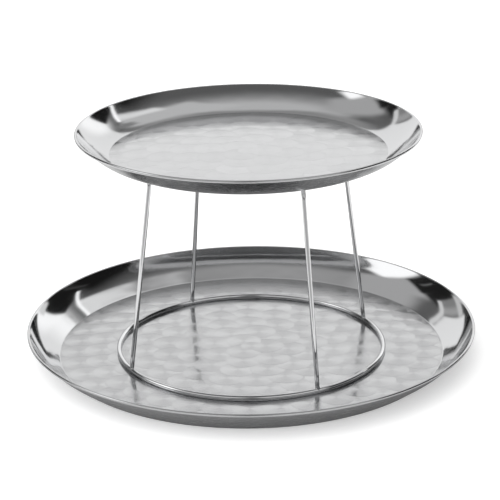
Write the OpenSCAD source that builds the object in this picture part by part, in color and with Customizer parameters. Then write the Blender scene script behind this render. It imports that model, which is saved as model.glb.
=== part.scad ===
// Two-tier round serving stand: a wide lower tray, a wire riser stood in it and a smaller upper tray on top.
// The origin is the middle of the lower tray's underside, Z is up and the front is -Y.
// All sizes are in millimetres.

/* [Lower tray] */
// Diameter over the rolled rim
lower_tray_d = 406.4; // [390:0.2:430]
// Height from the underside to the top of the rim
lower_tray_h = 25.4; // [20:0.2:32]
// Slope of the wall where it leaves the base, in degrees above level
lower_foot_slope = 36.5; // [25:0.5:40]
// Slope of the wall at its turn, where the curve up to the rim starts
lower_turn_slope = 36.5; // [30:0.5:45]
// Slope of the wall where it meets the rim, in degrees above level
lower_rim_slope = 59; // [45:0.5:65]
// Place of the turn, as a share of the way along the wall from foot to rim
lower_turn = 0.4; // [0.2:0.02:0.8]

/* [Upper tray] */
// Diameter over the rolled rim
upper_tray_d = 306; // [280:1:330]
// Height from the underside to the top of the rim
upper_tray_h = 21.2; // [17:0.2:26]
// Slope of the wall where it leaves the base, in degrees above level
upper_foot_slope = 18; // [14:0.5:32]
// Slope of the wall at its turn, where the curve up to the rim starts
upper_turn_slope = 37.5; // [30:0.5:45]
// Slope of the wall where it meets the rim, in degrees above level
upper_rim_slope = 51; // [45:0.5:60]
// Place of the turn, as a share of the way along the wall from foot to rim
upper_turn = 0.48; // [0.2:0.02:0.8]

/* [Tray sheet] */
// Thickness of the pressed sheet
sheet_t = 0.7; // [0.5:0.05:0.8]
// Radius of the sheet's mid-line where the base turns up into the wall
crease_r = 1.5; // [1:0.1:3]
// Diameter of the rolled rim
rim_bead_d = 2.8; // [2.6:0.1:3.4]
// How far round the edge is rolled, in degrees
rim_curl = 270; // [200:5:280]

/* [Riser stand] */
// Height over both rings
stand_h = 186; // [150:1:220]
// Diameter of the bottom ring, measured on the wire's centreline
bottom_ring_d = 241.4; // [220:0.2:260]
// Diameter of the top ring, measured on the wire's centreline
top_ring_d = 191.4; // [170:0.2:210]
// Diameter of the ring wire
ring_wire_d = 4.2; // [4.1:0.1:5]
// Diameter of the leg wire
leg_wire_d = 4; // [3:0.1:4.2]
// How far a weld stands out from the leg wire
weld_throat = 0.85; // [0.6:0.05:1.2]

/* [Fit] */
// Air gap between a ring and the tray it meets
seat_gap = 0.2; // [0.1:0.05:0.5]

/* [Hidden] */

$fn = 96;

// heights of the stand's parts above the lower tray's underside
bottom_ring_z = sheet_t + seat_gap + ring_wire_d / 2;
top_ring_z = sheet_t + seat_gap + stand_h - ring_wire_d / 2;
upper_tray_z = sheet_t + seat_gap + stand_h + seat_gap;

// each leg runs straight between the centrelines of the two rings
leg_run = (bottom_ring_d - top_ring_d) / 2;
leg_rise = top_ring_z - bottom_ring_z;
leg_length = sqrt(leg_run * leg_run + leg_rise * leg_rise);
leg_lean = atan2(leg_run, leg_rise);

// directions of the four legs round the stand, turned from +X
back_right = 45;
back_left = 135;
front_left = 225;
front_right = 315;
leg_directions = [back_right, back_left, front_left, front_right];

// a weld is a bead of metal centred just above the middle of the ring wire
weld_r = leg_wire_d / 2 + weld_throat;
weld_rise = 0.4 * ring_wire_d;

// straight steps that each curve of a tray's section is drawn in
crease_steps = 4;
wall_steps = 12;
curl_steps = 18;

// radius of the rolled rim on the sheet's mid-line
curl_r = (rim_bead_d - sheet_t) / 2;

// slopes of each wall at its foot, its turn and its rim
lower_slopes = [lower_foot_slope, lower_turn_slope, lower_rim_slope];
upper_slopes = [upper_foot_slope, upper_turn_slope, upper_rim_slope];

steel = [0.78, 0.79, 0.81];
wire_steel = [0.66, 0.67, 0.69];
weld_steel = [0.55, 0.56, 0.58];

// A section's mid-line is a list of [radius, height, heading], the heading in degrees above level.

// bend from level up to the foot of the wall
function crease_line(start_r, foot) = [
    for (i = [0:crease_steps])
        let (h = foot * i / crease_steps)
            [start_r + crease_r * sin(h), sheet_t / 2 + crease_r * (1 - cos(h)), h]
];

// slope of the wall part-way along it: one even curve from the foot to the turn, another to the rim
function wall_heading(along, slopes, turn) =
    along < turn
        ? slopes[0] + (slopes[1] - slopes[0]) * along / turn
        : slopes[1] + (slopes[2] - slopes[1]) * (along - turn) / (1 - turn);

// how far out and up the first i steps of the wall lead, for steps of length 1
function wall_reach(i, slopes, turn) =
    i == 0
        ? [0, 0]
        : let (h = wall_heading((i - 0.5) / wall_steps, slopes, turn))
            wall_reach(i - 1, slopes, turn) + [cos(h), sin(h)];

// wall that starts at a point and climbs in even steps to its rim
function wall_line(start, step, slopes, turn) = [
    for (i = [1:wall_steps])
        let (p = start + step * wall_reach(i, slopes, turn))
            [p[0], p[1], wall_heading(i / wall_steps, slopes, turn)]
];

// edge rolled outward and down round the middle of the bead
function curl_line(centre, rim) = [
    for (i = [1:curl_steps])
        let (h = rim - rim_curl * i / curl_steps)
            [centre[0] - curl_r * sin(h), centre[1] + curl_r * cos(h), h]
];

// a point of the mid-line moved square to its heading
function beside(p, d) = [p[0] - d * sin(p[2]), p[1] + d * cos(p[2])];

// mid-line of a whole tray, from its axis out to the end of the rolled edge
function tray_line(outer_d, tray_h, slopes, turn) =
    let (
        foot = slopes[0],
        rim = slopes[2],
        centre = [(outer_d - rim_bead_d) / 2, tray_h - rim_bead_d / 2],
        wall_top = centre + curl_r * [-sin(rim), cos(rim)],
        crease_top = sheet_t / 2 + crease_r * (1 - cos(foot)),
        reach = wall_reach(wall_steps, slopes, turn),
        step = (wall_top[1] - crease_top) / reach[1],
        foot_r = wall_top[0] - step * reach[0],
        start_r = foot_r - crease_r * sin(foot)
    )
    concat(
        [[0, sheet_t / 2, 0]],
        crease_line(start_r, foot),
        wall_line([foot_r, crease_top], step, slopes, turn),
        curl_line(centre, rim)
    );

// closed outline of a mid-line given the sheet's thickness
function thickened(line) = concat(
    [for (p = line) beside(p, -sheet_t / 2)],
    [for (i = [len(line) - 1:-1:0]) beside(line[i], sheet_t / 2)]
);

module tray(outer_d, tray_h, slopes, turn) {
    rotate_extrude()
        polygon(thickened(tray_line(outer_d, tray_h, slopes, turn)));
}

module wire_ring(ring_d) {
    rotate_extrude()
        translate([ring_d / 2, 0])
            circle(d = ring_wire_d);
}

module rings() {
    translate([0, 0, bottom_ring_z])
        wire_ring(bottom_ring_d);
    translate([0, 0, top_ring_z])
        wire_ring(top_ring_d);
}

// places its children at the foot of a leg, with Z along the leg
module along_leg(direction) {
    rotate([0, 0, direction])
        translate([bottom_ring_d / 2, 0, bottom_ring_z])
            rotate([0, -leg_lean, 0])
                children();
}

module leg_wire() {
    cylinder(h = leg_length, d = leg_wire_d);
}

// leg whose ends are shaped to sit on the two rings
module leg(direction) {
    color(wire_steel)
        difference() {
            along_leg(direction)
                leg_wire();
            rings();
        }
}

// weld beads round the four legs at one height along them
module welds(at) {
    color(weld_steel)
        for (direction = leg_directions)
            difference() {
                along_leg(direction)
                    translate([0, 0, at])
                        sphere(r = weld_r);
                along_leg(direction)
                    leg_wire();
                rings();
            }
}

module lower_tray() {
    color(steel)
        tray(lower_tray_d, lower_tray_h, lower_slopes, lower_turn);
}

module upper_tray() {
    color(steel)
        translate([0, 0, upper_tray_z])
            tray(upper_tray_d, upper_tray_h, upper_slopes, upper_turn);
}

module bottom_ring() {
    color(wire_steel)
        translate([0, 0, bottom_ring_z])
            wire_ring(bottom_ring_d);
}

module top_ring() {
    color(wire_steel)
        translate([0, 0, top_ring_z])
            wire_ring(top_ring_d);
}

module front_left_leg() {
    leg(front_left);
}

module front_right_leg() {
    leg(front_right);
}

module back_left_leg() {
    leg(back_left);
}

module back_right_leg() {
    leg(back_right);
}

module foot_welds() {
    welds(weld_rise);
}

module top_welds() {
    welds(leg_length - weld_rise);
}

lower_tray();
bottom_ring();
top_ring();
front_left_leg();
front_right_leg();
back_left_leg();
back_right_leg();
foot_welds();
top_welds();
upper_tray();
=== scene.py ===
"""Two-tier round serving stand: detailed steel meshes, materials, studio light and camera.

Everything is in metres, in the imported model's frame: +Z up, origin under the middle of the lower tray.
"""

import math

import bmesh
import bpy
from mathutils import Matrix, Vector


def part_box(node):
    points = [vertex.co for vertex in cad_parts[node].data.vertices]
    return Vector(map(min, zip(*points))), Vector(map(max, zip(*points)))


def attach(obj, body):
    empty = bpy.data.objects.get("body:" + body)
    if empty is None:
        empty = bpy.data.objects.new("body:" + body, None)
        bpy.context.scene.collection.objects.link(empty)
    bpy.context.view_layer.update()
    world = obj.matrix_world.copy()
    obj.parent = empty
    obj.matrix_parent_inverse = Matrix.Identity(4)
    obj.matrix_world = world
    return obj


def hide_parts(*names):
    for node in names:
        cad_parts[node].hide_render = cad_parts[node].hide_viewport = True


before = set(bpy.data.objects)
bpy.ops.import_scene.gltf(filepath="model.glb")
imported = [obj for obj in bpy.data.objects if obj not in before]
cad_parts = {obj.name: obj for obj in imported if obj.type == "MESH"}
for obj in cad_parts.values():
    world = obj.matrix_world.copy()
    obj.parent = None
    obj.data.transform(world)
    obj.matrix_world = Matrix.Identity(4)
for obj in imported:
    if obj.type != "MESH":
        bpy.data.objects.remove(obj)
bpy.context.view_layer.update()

MM = 0.001
TURN = 2 * math.pi

# ---------------------------------------------------------------- sizes

SHEET = 0.7 * MM          # thickness of both trays' sheet
CREASE_RADIUS = 1.5 * MM  # bend between a tray's base and its wall
BEAD = 2.8 * MM           # diameter of the rolled rim
RIM_CURL = 270            # how far round the rim is rolled, in degrees
# slope of each tray's wall at its foot, its turn and its rim, in degrees, and the turn's place along it
LOWER_SLOPES = (36.5, 36.5, 59.0, 0.4)
UPPER_SLOPES = (18.0, 37.5, 51.0, 0.48)

RING_WIRE = 4.2 * MM
LEG_WIRE = 4.0 * MM

AROUND = 320              # segments round a tray or ring
CREASE_STEPS = 8          # steps along each curve of a tray's section
WALL_STEPS = 24
CURL_STEPS = 36
WIRE_SIDES = 28


def radius_of(node):
    """The largest radius at which a round CAD node's box is filled on every side."""
    low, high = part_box(node)
    return min(-low.x, high.x, -low.y, high.y)


# ---------------------------------------------------------------- mesh helpers

def add_piece(name, vertices, faces, body, replaced, materials, face_slots=None):
    """Makes a smooth mesh piece that rides on a body and stands for CAD nodes."""
    mesh = bpy.data.meshes.new(name)
    mesh.from_pydata(vertices, [], faces)
    for material in materials:
        mesh.materials.append(material)
    if face_slots:
        mesh.polygons.foreach_set("material_index", face_slots)
    mesh.polygons.foreach_set("use_smooth", [True] * len(mesh.polygons))
    tidy = bmesh.new()
    tidy.from_mesh(mesh)
    bmesh.ops.recalc_face_normals(tidy, faces=tidy.faces)
    tidy.to_mesh(mesh)
    tidy.free()
    piece = bpy.data.objects.new(name, mesh)
    bpy.context.scene.collection.objects.link(piece)
    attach(piece, body)
    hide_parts(*replaced)
    return piece


def lathe(outline, segments):
    """Turns a closed (radius, height) outline round Z. Points on the axis become single vertices."""
    vertices, rings = [], []
    for radius, height in outline:
        if radius < 1e-9:
            rings.append([len(vertices)])
            vertices.append((0.0, 0.0, height))
            continue
        start = len(vertices)
        for i in range(segments):
            a = TURN * i / segments
            vertices.append((radius * math.cos(a), radius * math.sin(a), height))
        rings.append(list(range(start, start + segments)))
    faces, spans = [], []
    for n, ring in enumerate(rings):
        following = rings[(n + 1) % len(rings)]
        if len(ring) == 1 and len(following) == 1:
            continue
        for i in range(segments):
            j = (i + 1) % segments
            if len(ring) == 1:
                faces.append((ring[0], following[i], following[j]))
            elif len(following) == 1:
                faces.append((ring[i], following[0], ring[j]))
            else:
                faces.append((ring[i], following[i], following[j], ring[j]))
            spans.append(n)
    return vertices, faces, spans


def tube(path, radius, sides, closed=False):
    """A round tube along points, with flat ends when it isn't closed."""
    vertices, faces = [], []
    count = len(path)
    for n, point in enumerate(path):
        ahead = path[(n + 1) % count] if closed or n < count - 1 else point
        behind = path[n - 1] if closed or n else point
        along = (ahead - behind).normalized()
        side = along.cross(Vector((0, 0, 1)))
        side = side.normalized() if side.length > 1e-6 else Vector((1, 0, 0))
        other = side.cross(along)
        for i in range(sides):
            a = TURN * i / sides
            vertices.append(point + radius * (math.cos(a) * side + math.sin(a) * other))
    for n in range(count if closed else count - 1):
        a, b = n * sides, ((n + 1) % count) * sides
        for i in range(sides):
            j = (i + 1) % sides
            faces.append((a + i, a + j, b + j, b + i))
    if not closed:
        faces.append(tuple(range(sides)))
        faces.append(tuple(range((count - 1) * sides, count * sides)))
    return vertices, faces


# ---------------------------------------------------------------- node helpers

class Graph:
    """Short calls for building one material's or world's nodes."""

    def __init__(self, tree):
        self.tree = tree
        self.tree.nodes.clear()

    def node(self, kind, **settings):
        made = self.tree.nodes.new(kind)
        for key, value in settings.items():
            setattr(made, key, value)
        return made

    def feed(self, socket, value):
        if isinstance(value, bpy.types.NodeSocket):
            self.tree.links.new(value, socket)
        else:
            socket.default_value = value

    def math(self, operation, a, b=None, c=None, clamp=False):
        made = self.node("ShaderNodeMath", operation=operation, use_clamp=clamp)
        for socket, value in zip(made.inputs, (a, b, c)):
            if value is not None:
                self.feed(socket, value)
        return made.outputs[0]

    def vary(self, base, amount, value):
        """A base number plus an amount of a varying value."""
        return self.math("MULTIPLY_ADD", value, amount, base)

    def vector_math(self, operation, a, b=None):
        made = self.node("ShaderNodeVectorMath", operation=operation)
        self.feed(made.inputs[0], a)
        if b is not None:
            self.feed(made.inputs[1], b)
        return made.outputs["Value"] if operation in ("DOT_PRODUCT", "LENGTH") else made.outputs[0]

    def combine(self, x, y, z):
        made = self.node("ShaderNodeCombineXYZ")
        for socket, value in zip(made.inputs, (x, y, z)):
            self.feed(socket, value)
        return made.outputs[0]

    def separate(self, vector):
        made = self.node("ShaderNodeSeparateXYZ")
        self.feed(made.inputs[0], vector)
        return made.outputs[0], made.outputs[1], made.outputs[2]

    def mix(self, factor, a, b):
        """Number a where factor is 0, b where it is 1."""
        made = self.node("ShaderNodeMix", data_type="FLOAT")
        self.feed(made.inputs[0], factor)
        self.feed(made.inputs[2], a)
        self.feed(made.inputs[3], b)
        return made.outputs[0]

    def mix_vector(self, factor, a, b):
        made = self.node("ShaderNodeMix", data_type="VECTOR")
        self.feed(made.inputs[0], factor)
        self.feed(made.inputs[4], a)
        self.feed(made.inputs[5], b)
        return made.outputs[1]

    def ramp(self, value, low, high, to_low=0.0, to_high=1.0, smooth=True):
        made = self.node("ShaderNodeMapRange", clamp=True)
        made.interpolation_type = "SMOOTHSTEP" if smooth else "LINEAR"
        for name, number in (("Value", value), ("From Min", low), ("From Max", high),
                             ("To Min", to_low), ("To Max", to_high)):
            self.feed(made.inputs[name], number)
        return made.outputs[0]

    def noise(self, vector, scale, detail=2.0, roughness=0.5):
        made = self.node("ShaderNodeTexNoise")
        self.feed(made.inputs["Vector"], vector)
        self.feed(made.inputs["Scale"], scale)
        self.feed(made.inputs["Detail"], detail)
        self.feed(made.inputs["Roughness"], roughness)
        return made.outputs[0]

    def grey(self, value, tint=(1.0, 1.0, 1.0)):
        """A colour from a number, times a tint."""
        made = self.node("ShaderNodeCombineColor")
        for socket, share in zip(made.inputs, tint):
            self.feed(socket, self.math("MULTIPLY", value, share) if share != 1.0 else value)
        return made.outputs[0]

    def bump(self, height, distance, strength=1.0):
        made = self.node("ShaderNodeBump")
        self.feed(made.inputs["Height"], height)
        self.feed(made.inputs["Distance"], distance)
        self.feed(made.inputs["Strength"], strength)
        return made.outputs[0]

    def position(self):
        return self.node("ShaderNodeTexCoord").outputs["Object"]


def steel(name, build):
    """A metal material whose colour, roughness and bump come from build(graph, shader)."""
    material = bpy.data.materials.new(name)
    material.use_nodes = True
    graph = Graph(material.node_tree)
    shader = graph.node("ShaderNodeBsdfPrincipled")
    shader.inputs["Metallic"].default_value = 1.0
    output = graph.node("ShaderNodeOutputMaterial")
    graph.feed(output.inputs["Surface"], shader.outputs[0])
    build(graph, shader)
    return material


# ---------------------------------------------------------------- steel finishes

STEEL_TINT = (0.985, 0.99, 1.0)


def polar(graph):
    """Radius, angle and height of the shaded point about the upright axis."""
    x, y, z = graph.separate(graph.position())
    radius = graph.math("SQRT", graph.math("ADD", graph.math("MULTIPLY", x, x),
                                           graph.math("MULTIPLY", y, y)))
    angle = graph.math("ARCTAN2", y, x)
    return x, y, z, radius, angle


# the base is ground with a disc that leaves overlapping swirls in rings round the centre
SWIRL_FIRST_RING = 14.0 * MM
SWIRL_RING_PITCH = 20.5 * MM
SWIRL_SPACING = 26.0 * MM  # between the swirls of one ring
SWIRL_RADIUS = 16.0 * MM
SWIRL_DISH = 180.0         # how fast each swirl deepens from its centre
SWIRL_TWIST = 2.4          # how far each ring of swirls is turned from the last, in radians

LOWER_BASE_PAINTED_SHADE = 0.93      # the lower tray's base colour is darkened, painted shade for the upper tray above it
UPPER_BASE_SMOOTHING = -0.06   # and the upper one's is smoother
BETWEEN_BASES = (0.05, 0.15)   # heights that tell the two bases apart


def swirl_ring(graph, angle, number):
    """Offsets from the two nearest swirl centres of a ring, the later swirl first."""
    ring_radius = graph.vary(SWIRL_FIRST_RING - SWIRL_RING_PITCH, SWIRL_RING_PITCH, number)
    ring_radius = graph.math("MULTIPLY", ring_radius, graph.math("GREATER_THAN", number, 0.5))
    count = graph.math("ROUND", graph.math("MULTIPLY", ring_radius, TURN / SWIRL_SPACING))
    count = graph.math("MAXIMUM", count, 1.0)
    step = graph.math("DIVIDE", TURN, count)
    turned = graph.math("MULTIPLY", number, SWIRL_TWIST)
    place = graph.math("DIVIDE", graph.math("SUBTRACT", angle, turned), step)
    offsets = []
    for rounding in ("CEIL", "FLOOR"):
        centre_angle = graph.math("MULTIPLY_ADD", graph.math(rounding, place), step, turned)
        offsets.append((
            graph.math("MULTIPLY", ring_radius, graph.math("COSINE", centre_angle)),
            graph.math("MULTIPLY", ring_radius, graph.math("SINE", centre_angle)),
        ))
    return offsets


def swirl_offset(graph):
    """Vector from the centre of the swirl on top to the shaded point."""
    x, y, _, radius, angle = polar(graph)
    inner = graph.math("SUBTRACT", radius, SWIRL_RADIUS + SWIRL_FIRST_RING - SWIRL_RING_PITCH)
    inner = graph.math("CEIL", graph.math("DIVIDE", inner, SWIRL_RING_PITCH))
    inner = graph.math("MAXIMUM", inner, 0.0)
    outer = graph.math("ADD", inner, 1.0)
    candidates = swirl_ring(graph, angle, inner) + swirl_ring(graph, angle, outer)
    chosen = None
    for centre_x, centre_y in reversed(candidates):
        offset = graph.combine(graph.math("SUBTRACT", x, centre_x),
                               graph.math("SUBTRACT", y, centre_y), 0.0)
        if chosen is None:
            chosen = offset
            continue
        covers = graph.math("LESS_THAN", graph.vector_math("LENGTH", offset), SWIRL_RADIUS)
        chosen = graph.mix_vector(covers, chosen, offset)
    return chosen


def swirl_base(graph, shader):
    """Flat base ground in overlapping round swirls."""
    position = graph.position()
    offset = swirl_offset(graph)
    centre = graph.vector_math("SUBTRACT", position, offset)
    reach = graph.vector_math("LENGTH", offset)
    scratches = graph.noise(graph.combine(reach, 0.0, 0.0), 2600.0, 3.0, 0.7)
    worn = graph.noise(position, 9.0, 3.0)
    shade = graph.noise(centre, 70.0, 2.0)
    edge = graph.ramp(reach, 0.86 * SWIRL_RADIUS, SWIRL_RADIUS)
    _, _, height = graph.separate(position)
    upper = graph.ramp(height, *BETWEEN_BASES)
    tone = graph.vary(0.50, 0.10, scratches)
    tone = graph.vary(tone, 0.04, worn)
    tone = graph.vary(tone, 0.14, shade)
    tone = graph.vary(tone, -0.01, edge)
    # painted shade: the lower tray's base colour is darkened where it lies under the upper tray
    tone = graph.math("MULTIPLY", tone, graph.mix(upper, LOWER_BASE_PAINTED_SHADE, 1.0))
    graph.feed(shader.inputs["Base Color"], graph.grey(tone, STEEL_TINT))
    rough = graph.vary(0.145, UPPER_BASE_SMOOTHING, upper)
    rough = graph.vary(rough, 0.05, scratches)
    rough = graph.vary(rough, 0.03, edge)
    graph.feed(shader.inputs["Roughness"], rough)
    shader.inputs["Anisotropic"].default_value = 0.95
    graph.feed(shader.inputs["Tangent"], graph.vector_math("NORMALIZE", offset))
    dish = graph.math("MULTIPLY", reach, reach)
    relief = graph.vary(graph.math("MULTIPLY", scratches, 0.002), SWIRL_DISH, dish)
    graph.feed(shader.inputs["Normal"], graph.bump(relief, MM, 0.6))


def polished_wall(graph, shader):
    """Mirror-polished inner wall, with the faint round waves that spinning leaves."""
    _, _, z, radius, angle = polar(graph)
    waves = graph.noise(graph.combine(graph.math("MULTIPLY", angle, 3.0),
                                      graph.math("MULTIPLY", radius, 40.0), 0.0), 2.0, 1.0)
    lines = graph.noise(graph.combine(graph.math("MULTIPLY", angle, 0.05), radius, z), 2200.0, 2.0)
    tone = graph.vary(0.66, 0.05, lines)
    graph.feed(shader.inputs["Base Color"], graph.grey(tone, STEEL_TINT))
    graph.feed(shader.inputs["Roughness"], graph.vary(0.05, 0.06, lines))
    graph.feed(shader.inputs["Normal"], graph.bump(waves, 0.25 * MM, 0.5))


def satin_wall_painted_shade(graph, shader):
    """Outer wall brushed along its circumference, its colour also darkened as painted shade for the
    shadowed floor it faces.
    """
    _, _, z, radius, angle = polar(graph)
    coordinates = graph.combine(graph.math("MULTIPLY", angle, 0.006), radius, z)
    lines = graph.noise(coordinates, 1500.0, 3.0, 0.6)
    patches = graph.noise(graph.combine(graph.math("MULTIPLY", angle, 0.04), z, 0.0), 60.0, 2.0)
    # painted shade: the low 0.41 tone stands for the shadowed floor under the tray that the outer wall
    # mirrors; the brushing is the real finish
    tone = graph.vary(0.41, 0.12, lines)
    tone = graph.vary(tone, 0.05, patches)
    graph.feed(shader.inputs["Base Color"], graph.grey(tone, STEEL_TINT))
    graph.feed(shader.inputs["Roughness"], graph.vary(0.20, 0.12, lines))
    graph.feed(shader.inputs["Normal"], graph.bump(lines, 0.004 * MM, 0.5))


def rolled_rim(graph, shader):
    """Bright rolled rim with fine drawing lines."""
    _, _, z, radius, angle = polar(graph)
    lines = graph.noise(graph.combine(graph.math("MULTIPLY", angle, 0.02), radius, z), 3000.0, 2.0)
    graph.feed(shader.inputs["Base Color"],
               graph.grey(graph.vary(0.66, 0.08, lines), STEEL_TINT))
    graph.feed(shader.inputs["Roughness"], graph.vary(0.10, 0.10, lines))
    graph.feed(shader.inputs["Normal"], graph.bump(lines, 0.002 * MM, 0.4))


def drawn_wire(graph, shader):
    """Bright drawn wire with faint marks."""
    marks = graph.noise(graph.position(), 900.0, 3.0)
    patches = graph.noise(graph.position(), 60.0, 2.0)
    tone = graph.vary(0.76, 0.06, marks)
    tone = graph.vary(tone, 0.06, patches)
    graph.feed(shader.inputs["Base Color"], graph.grey(tone, STEEL_TINT))
    graph.feed(shader.inputs["Roughness"], graph.vary(0.03, 0.06, marks))
    graph.feed(shader.inputs["Normal"], graph.bump(marks, 0.004 * MM, 0.3))


def polished_weld(graph, shader):
    """Dressed weld metal, a little duller and lumpier than the wire."""
    lumps = graph.noise(graph.position(), 420.0, 3.0)
    graph.feed(shader.inputs["Base Color"],
               graph.grey(graph.vary(0.72, 0.10, lumps), STEEL_TINT))
    graph.feed(shader.inputs["Roughness"], graph.vary(0.08, 0.10, lumps))
    graph.feed(shader.inputs["Normal"], graph.bump(lumps, 0.08 * MM, 0.4))


SWIRL = steel("swirl_ground_base", swirl_base)
POLISHED = steel("polished_inner_wall", polished_wall)
SATIN_PAINTED_SHADE = steel("satin_outer_wall_painted_shade", satin_wall_painted_shade)
RIM = steel("rolled_rim", rolled_rim)
WIRE = steel("drawn_wire", drawn_wire)
WELD = steel("polished_weld", polished_weld)

TRAY_MATERIALS = [SWIRL, POLISHED, SATIN_PAINTED_SHADE, RIM]
BASE_TOP, INNER_WALL, OUTSIDE, ROLLED = range(4)


# ---------------------------------------------------------------- trays

BASE_RINGS = 8            # rings that divide the flat base
CREASE_MARGIN = 0.3 * MM  # narrow flat strip that keeps the base's shading flat


def heading_at(along, foot, middle, rim, turn):
    """Slope of the wall part-way along it: one arc from the foot to the turn, another to the rim."""
    if along < turn:
        return foot + (middle - foot) * along / turn
    return middle + (rim - middle) * (along - turn) / (1 - turn)


def tray_line(outer, height, foot, middle, rim, turn):
    """Mid-line of the sheet as (radius, height, heading, zone) from the axis to the rolled edge."""
    foot, middle, rim = (math.radians(slope) for slope in (foot, middle, rim))
    curl = (BEAD - SHEET) / 2
    bead_r, bead_z = outer - BEAD / 2, height - BEAD / 2
    crease_top = SHEET / 2 + CREASE_RADIUS * (1 - math.cos(foot))
    headings = [heading_at(i / WALL_STEPS, foot, middle, rim, turn) for i in range(WALL_STEPS + 1)]
    across, up = [0.0], [0.0]
    for a, b in zip(headings, headings[1:]):
        across.append(across[-1] + math.cos((a + b) / 2))
        up.append(up[-1] + math.sin((a + b) / 2))
    step = (bead_z + curl * math.cos(rim) - crease_top) / up[-1]
    foot_r = bead_r - curl * math.sin(rim) - step * across[-1]
    start_r = foot_r - CREASE_RADIUS * math.sin(foot)
    line = [((start_r - CREASE_MARGIN) * i / BASE_RINGS, SHEET / 2, 0.0, "base")
            for i in range(BASE_RINGS + 1)]
    for i in range(CREASE_STEPS + 1):
        h = foot * i / CREASE_STEPS
        line.append((start_r + CREASE_RADIUS * math.sin(h),
                     SHEET / 2 + CREASE_RADIUS * (1 - math.cos(h)), h, "crease" if i else "base"))
    for i in range(1, WALL_STEPS + 1):
        line.append((foot_r + step * across[i], crease_top + step * up[i], headings[i], "wall"))
    for i in range(1, CURL_STEPS + 1):
        h = rim - math.radians(RIM_CURL) * i / CURL_STEPS
        line.append((bead_r - curl * math.sin(h), bead_z + curl * math.cos(h), h, "rim"))
    return line


def make_tray(name, node, body, slopes):
    """One pressed tray: swirl base, polished inside wall, satin outside and a rolled rim."""
    low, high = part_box(node)
    line = tray_line(radius_of(node), high.z - low.z, *slopes)
    outside = [(r + SHEET / 2 * math.sin(h), z - SHEET / 2 * math.cos(h) + low.z, zone)
               for r, z, h, zone in line]
    inside = [(r - SHEET / 2 * math.sin(h), z + SHEET / 2 * math.cos(h) + low.z, zone)
              for r, z, h, zone in reversed(line)]
    outside_slots = {"base": OUTSIDE, "crease": OUTSIDE, "wall": OUTSIDE, "rim": ROLLED}
    inside_slots = {"base": BASE_TOP, "crease": INNER_WALL, "wall": INNER_WALL, "rim": ROLLED}
    span_slots = [outside_slots[outside[n + 1][2]] for n in range(len(outside) - 1)]
    span_slots.append(ROLLED)
    span_slots += [inside_slots[inside[n][2]] for n in range(len(inside) - 1)]
    span_slots.append(BASE_TOP)
    outline = [(max(r, 0.0), z) for r, z, _ in outside + inside]
    vertices, faces, spans = lathe(outline, AROUND)
    return add_piece(name, vertices, faces, body, [node], TRAY_MATERIALS,
                     [span_slots[n] for n in spans])


make_tray("lower_tray_pressing", "lower_tray", "lower_tray", LOWER_SLOPES)
make_tray("upper_tray_pressing", "upper_tray", "upper_tray", UPPER_SLOPES)


# ---------------------------------------------------------------- riser

def ring_line(node):
    """Centreline radius and height of a wire ring, from its CAD box."""
    low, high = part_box(node)
    return radius_of(node) - RING_WIRE / 2, (low.z + high.z) / 2


FOOT_RING_R, FOOT_RING_Z = ring_line("bottom_ring")
TOP_RING_R, TOP_RING_Z = ring_line("top_ring")


def make_ring(name, node):
    """One wire ring of the riser."""
    radius, height = ring_line(node)
    path = [Vector((radius * math.cos(TURN * i / AROUND), radius * math.sin(TURN * i / AROUND),
                    height)) for i in range(AROUND)]
    vertices, faces = tube(path, RING_WIRE / 2, WIRE_SIDES, closed=True)
    return add_piece(name, vertices, faces, "stand", [node], [WIRE])


make_ring("bottom_ring_wire", "bottom_ring")
make_ring("top_ring_wire", "top_ring")


def leg_ends(node):
    """Where a leg's centreline meets the bottom ring's and the top ring's."""
    low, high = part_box(node)
    middle = (low + high) / 2
    outward = Vector((middle.x, middle.y, 0)).normalized()
    return (outward * FOOT_RING_R + Vector((0, 0, FOOT_RING_Z)),
            outward * TOP_RING_R + Vector((0, 0, TOP_RING_Z)))


LEG_STEPS = 12


def make_leg(node):
    """One leg, whose ends run into the rings."""
    foot, top = leg_ends(node)
    path = [foot.lerp(top, i / LEG_STEPS) for i in range(LEG_STEPS + 1)]
    vertices, faces = tube(path, LEG_WIRE / 2, WIRE_SIDES)
    return add_piece(node + "_wire", vertices, faces, "stand", [node], [WIRE])


LEGS = ["front_left_leg", "front_right_leg", "back_left_leg", "back_right_leg"]
for leg in LEGS:
    make_leg(leg)

WELD_REACH = 1.1 * MM     # how far a fillet climbs along the leg, past the ring's surface
WELD_SPREAD = 2.7 * MM    # how far it spreads along the ring, from the leg's axis
WELD_WRAP = math.radians(62)  # how far it wraps round the ring
WELD_FIT = 0.985          # share of a wire's radius at which a fillet's edges start, just inside it
WELD_HOLLOW = 0.15        # how far above its foot a fillet's curve turns, as a share of WELD_REACH
WELD_SIDES = 48
WELD_STEPS = 10


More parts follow.
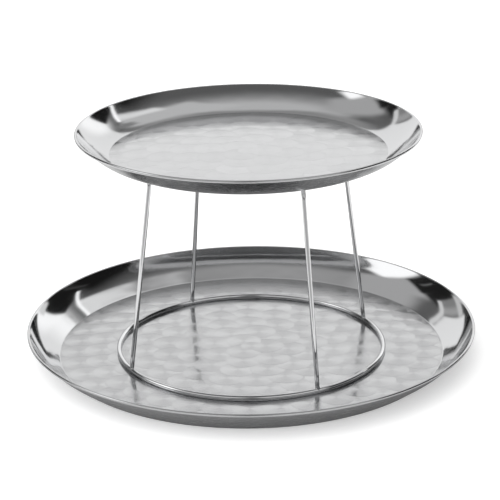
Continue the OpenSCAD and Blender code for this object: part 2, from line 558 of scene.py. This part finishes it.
def weld_fillet(joint, leg_axis):
    """Concave fillet between a leg and a ring at one joint, as vertices and faces."""
    outward = Vector((joint.x, joint.y, 0)).normalized()
    along = Vector((-outward.y, outward.x, 0))
    up = Vector((0, 0, 1 if leg_axis.z > 0 else -1))
    side = (outward - outward.dot(leg_axis) * leg_axis).normalized()
    leg_r, ring_r = LEG_WIRE / 2 * WELD_FIT, RING_WIRE / 2 * WELD_FIT
    vertices, faces = [], []
    for i in range(WELD_SIDES):
        a = TURN * i / WELD_SIDES
        wrap = WELD_WRAP * math.cos(a)
        leg_side = leg_r * (math.cos(a) * side + math.sin(a) * along)
        ring_foot = (outward * ring_r * math.sin(wrap) + up * ring_r * math.cos(wrap)
                     + along * WELD_SPREAD * math.sin(a))
        top = leg_side + leg_axis * (ring_r + WELD_REACH)
        corner = leg_side + leg_axis * (ring_foot.dot(leg_axis) + WELD_HOLLOW * WELD_REACH)
        for n in range(WELD_STEPS + 1):
            t = n / WELD_STEPS
            vertices.append(joint + (1 - t) ** 2 * top + 2 * t * (1 - t) * corner + t * t * ring_foot)
    rows = WELD_STEPS + 1
    for i in range(WELD_SIDES):
        a, b = i * rows, ((i + 1) % WELD_SIDES) * rows
        for n in range(WELD_STEPS):
            faces.append((a + n, b + n, b + n + 1, a + n + 1))
    faces.append(tuple(i * rows for i in range(WELD_SIDES)))
    faces.append(tuple(i * rows + WELD_STEPS for i in range(WELD_SIDES)))
    return vertices, faces


def make_welds(name, node, at_top):
    """The four fillets that join the legs to one ring."""
    vertices, faces = [], []
    for leg in LEGS:
        foot, top = leg_ends(leg)
        axis = (top - foot).normalized()
        more, new_faces = weld_fillet(top, -axis) if at_top else weld_fillet(foot, axis)
        start = len(vertices)
        vertices += more
        faces += [tuple(start + v for v in face) for face in new_faces]
    return add_piece(name, vertices, faces, "stand", [node], [WELD])


make_welds("foot_weld_fillets", "foot_welds", at_top=False)
make_welds("top_weld_fillets", "top_welds", at_top=True)


# ---------------------------------------------------------------- viewpoint

CAMERA_AZIMUTH = 16.95    # degrees round the stand from the front
STUDIO_TURN = math.radians(CAMERA_AZIMUTH)  # the studio is laid out square to the camera


# ---------------------------------------------------------------- floor

FLOOR_SIZE = 12.0
FLOOR_DROP = 0.1 * MM     # keeps the floor clear of the lower tray's underside
FLOOR_TONE = 0.86
FLOOR_GLOW = 0.30         # lifts the shadows as a lit sweep of paper does
MIRRORED_NEAR = 0.45      # how light the steel sees the table beside the tray and well away from it; the darker tone beside the tray is a painted shadow
MIRRORED_FAR = 0.75
MIRRORED_NEAR_END = 0.18  # distances from the stand's middle between which the one turns into the other
MIRRORED_FAR_START = 0.32
MIRRORED_ROOM = 0.35      # how light the steel sees the room in front of the table
TABLE_EDGE = 0.50         # how far in front of the stand the steel sees the table end
TABLE_EDGE_BLUR = 0.05    # half the width over which that edge fades


def make_floor():
    """Plain pale floor that the steel sees darker, with a painted shadow round the tray, and ending at a
    table's edge in front.
    """
    half = FLOOR_SIZE / 2
    mesh = bpy.data.meshes.new("floor")
    corners = [(-half, -half, 0), (half, -half, 0), (half, half, 0), (-half, half, 0)]
    mesh.from_pydata(corners, [], [(0, 1, 2, 3)])
    floor = bpy.data.objects.new("floor", mesh)
    floor.location.z = -FLOOR_DROP
    bpy.context.scene.collection.objects.link(floor)
    material = bpy.data.materials.new("pale_floor")
    material.use_nodes = True
    graph = Graph(material.node_tree)
    shader = graph.node("ShaderNodeBsdfPrincipled")
    across, along, _ = graph.separate(graph.position())
    nearer = graph.vary(graph.math("MULTIPLY", along, -math.cos(STUDIO_TURN)),
                        math.sin(STUDIO_TURN), across)
    away = graph.vector_math("LENGTH", graph.combine(across, along, 0.0))
    # painted shadow: the steel sees the table darker close to the stand's middle
    table = graph.ramp(away, MIRRORED_NEAR_END, MIRRORED_FAR_START, MIRRORED_NEAR, MIRRORED_FAR)
    room = graph.ramp(nearer, TABLE_EDGE - TABLE_EDGE_BLUR, TABLE_EDGE + TABLE_EDGE_BLUR)
    mirrored = graph.mix(room, table, MIRRORED_ROOM)
    path = graph.node("ShaderNodeLightPath")
    in_steel = path.outputs["Is Glossy Ray"]
    tone = graph.mix(in_steel, FLOOR_TONE, mirrored)
    shader.inputs["Emission Color"].default_value = (1, 1, 1, 1)
    graph.feed(shader.inputs["Emission Strength"], graph.mix(in_steel, FLOOR_GLOW, 0.0))
    graph.feed(shader.inputs["Base Color"], graph.grey(tone))
    shader.inputs["Roughness"].default_value = 0.9
    shader.inputs["Specular IOR Level"].default_value = 0.1
    output = graph.node("ShaderNodeOutputMaterial")
    graph.feed(output.inputs["Surface"], shader.outputs[0])
    mesh.materials.append(material)


make_floor()


# ---------------------------------------------------------------- camera

CAMERA_ELEVATION = 19.88  # degrees above level
CAMERA_ROLL = -0.81
CAMERA_DISTANCE = 1.675
CAMERA_AIM = Vector((0, 0, 0.0941))
CAMERA_LENS = 134.0


def make_camera():
    """Camera aimed at the stand from its place round and above it."""
    azimuth, elevation = math.radians(CAMERA_AZIMUTH), math.radians(CAMERA_ELEVATION)
    back = Vector((math.sin(azimuth) * math.cos(elevation),
                   -math.cos(azimuth) * math.cos(elevation), math.sin(elevation)))
    data = bpy.data.cameras.new("camera")
    data.lens = CAMERA_LENS
    data.sensor_width = 36
    data.clip_end = 50
    camera = bpy.data.objects.new("camera", data)
    turn = (-back).to_track_quat("-Z", "Y").to_matrix().to_4x4()
    roll = Matrix.Rotation(math.radians(CAMERA_ROLL), 4, "Z")
    camera.matrix_world = Matrix.Translation(CAMERA_AIM + back * CAMERA_DISTANCE) @ turn @ roll
    bpy.context.scene.collection.objects.link(camera)
    bpy.context.scene.camera = camera


make_camera()


# ---------------------------------------------------------------- studio

def studio_axis(azimuth, elevation):
    """Unit vector to a place in the studio: azimuth from straight behind the stand, to the right."""
    a, e = math.radians(azimuth), math.radians(elevation)
    x, y = math.sin(a) * math.cos(e), math.cos(a) * math.cos(e)
    c, s = math.cos(STUDIO_TURN), math.sin(STUDIO_TURN)
    return Vector((x * c - y * s, x * s + y * c, math.sin(e)))


AHEAD = 0.02              # least cosine between a direction and a panel's middle where they can meet


def panel(graph, direction, azimuth, elevation, half_width, half_height, soft, tilt=0.0):
    """How much of a soft-edged studio panel a direction meets, 0 to 1. Sizes are in degrees."""
    middle = studio_axis(azimuth, elevation)
    right = middle.cross(Vector((0, 0, 1))).normalized()
    up = right.cross(middle)
    t = math.radians(tilt)
    right, up = right * math.cos(t) + up * math.sin(t), up * math.cos(t) - right * math.sin(t)
    ahead = graph.vector_math("DOT_PRODUCT", direction, middle)
    seen = graph.math("GREATER_THAN", ahead, AHEAD)
    depth = graph.math("MAXIMUM", ahead, AHEAD)
    for side, half in ((right, half_width), (up, half_height)):
        across = graph.vector_math("DOT_PRODUCT", direction, side)
        ratio = graph.math("ABSOLUTE", graph.math("DIVIDE", across, depth))
        inner = math.tan(math.radians(max(half - soft, 0.0)))
        outer = math.tan(math.radians(half + soft))
        seen = graph.math("MULTIPLY", seen, graph.ramp(ratio, inner, outer, 1.0, 0.0))
    return seen


# name, azimuth, elevation, half width, half height, edge softness and tilt in degrees, brightness;
# a later panel stands in front of the earlier ones
PANELS = [
    ("ceiling, left side", -59, 47, 12, 14, 4, 0, 0.49),
    ("ceiling, right side", 39, 58, 12, 20, 3, -12, 0.64),
    ("gap above the backdrop", -4, 46, 12.5, 14, 5, 0, 0.32),
    ("dark patch, left of the gap", -31, 39, 4.5, 7, 4, 0, 0.15),
    ("dark patch, right of the gap", 29, 39, 3.5, 4, 2, 0, 0.28),
    ("right strip", 51, 47, 3, 12, 2.5, -25, 0.97),
    ("right flag", 88, 21, 24, 25, 9, 0, 0.011),
    ("left softbox", -96, 33, 17.5, 15, 2.5, 12, 1.45),
    ("left flag", -63, 19.5, 9, 16.5, 2, 0, 0.016),
    ("left flag, inner part", -51, 15, 7.5, 17, 2.5, -20, 0.016),
    ("left light gap", -63.5, 26, 0.5, 5, 0.5, 0, 0.25),
    ("left wing", -39.5, 17, 6.5, 9.5, 1.2, 0, 0.28),
    ("left wing, inner side", -35.5, 17, 3, 9.5, 2.5, 0, 0.44),
    ("left wing edge", -37.5, 26, 7.3, 1.5, 0.8, 3, 0.85),
    ("left wing foot", -40, 9, 9, 2.5, 1.2, 0, 0.70),
    ("front, right of the camera", 143, 28, 27, 24, 5, 0, 0.65),
    ("front, left of the camera", -143, 28, 27, 24, 5, 0, 0.60),
    ("backdrop", 3.75, 0, 34.25, 33, 1.2, 0, 1.0),
    ("backdrop, brighter side", 34, 8, 8, 22, 6, 0, 1.34),
    ("right inner flag", 52, 17, 12.5, 15, 1.2, 6, 0.012),
    ("right wing foot", 41, 8.5, 5, 3, 1.2, 0, 0.9),
    ("gap under the backdrop", 0, 1, 42, 4, 1.2, 0, 0.06),
    ("right edge light", 51, 34.5, 10, 1.1, 0.6, -20, 1.5),
    ("right faint line", 65, 24, 0.8, 9, 0.8, -27, 0.07),
]

CEILING = (-5, 68)        # where the soft overhead light is centred: azimuth and elevation
CEILING_INNER = math.radians(12)
CEILING_OUTER = math.radians(42)
CEILING_BRIGHTNESS = 0.60
ROOM_BRIGHTNESS = 0.13
FLOOR_LIGHT_FROM = (-130, 15)  # the light that reaches matt surfaces is strongest from here
FLOOR_LIGHT = (0.48, 1.8)      # weakest and strongest
FLOOR_LIGHT_SPREAD = (-0.8, 0.9)  # cosines off that direction at which each is reached


def make_studio():
    """One world: white to the camera, a soft dome for matt surfaces, and panels for the steel."""
    world = bpy.data.worlds.new("studio")
    bpy.context.scene.world = world
    world.use_nodes = True
    world.cycles.sampling_method = "NONE"
    graph = Graph(world.node_tree)
    direction = graph.node("ShaderNodeTexCoord").outputs["Generated"]
    off_ceiling = graph.math("ARCCOSINE", graph.vector_math("DOT_PRODUCT", direction,
                                                            studio_axis(*CEILING)))
    level = graph.ramp(off_ceiling, CEILING_INNER, CEILING_OUTER, CEILING_BRIGHTNESS,
                       ROOM_BRIGHTNESS)
    for _, azimuth, elevation, width, height, soft, tilt, brightness in PANELS:
        share = panel(graph, direction, azimuth, elevation, width, height, soft, tilt)
        level = graph.mix(share, level, brightness)
    path = graph.node("ShaderNodeLightPath")
    toward = graph.vector_math("DOT_PRODUCT", direction, studio_axis(*FLOOR_LIGHT_FROM))
    dome = graph.ramp(toward, *FLOOR_LIGHT_SPREAD, *FLOOR_LIGHT)
    after_matt = graph.math("GREATER_THAN", path.outputs["Diffuse Depth"], 0.5)
    level = graph.mix(after_matt, level, dome)
    level = graph.mix(path.outputs["Is Camera Ray"], level, 1.0)
    shade = graph.node("ShaderNodeBackground")
    graph.feed(shade.inputs["Color"], graph.grey(level))
    output = graph.node("ShaderNodeOutputWorld")
    graph.feed(output.inputs["Surface"], shade.outputs[0])


make_studio()

bpy.context.scene.view_settings.view_transform = "Standard"
bpy.context.scene.view_settings.look = "None"
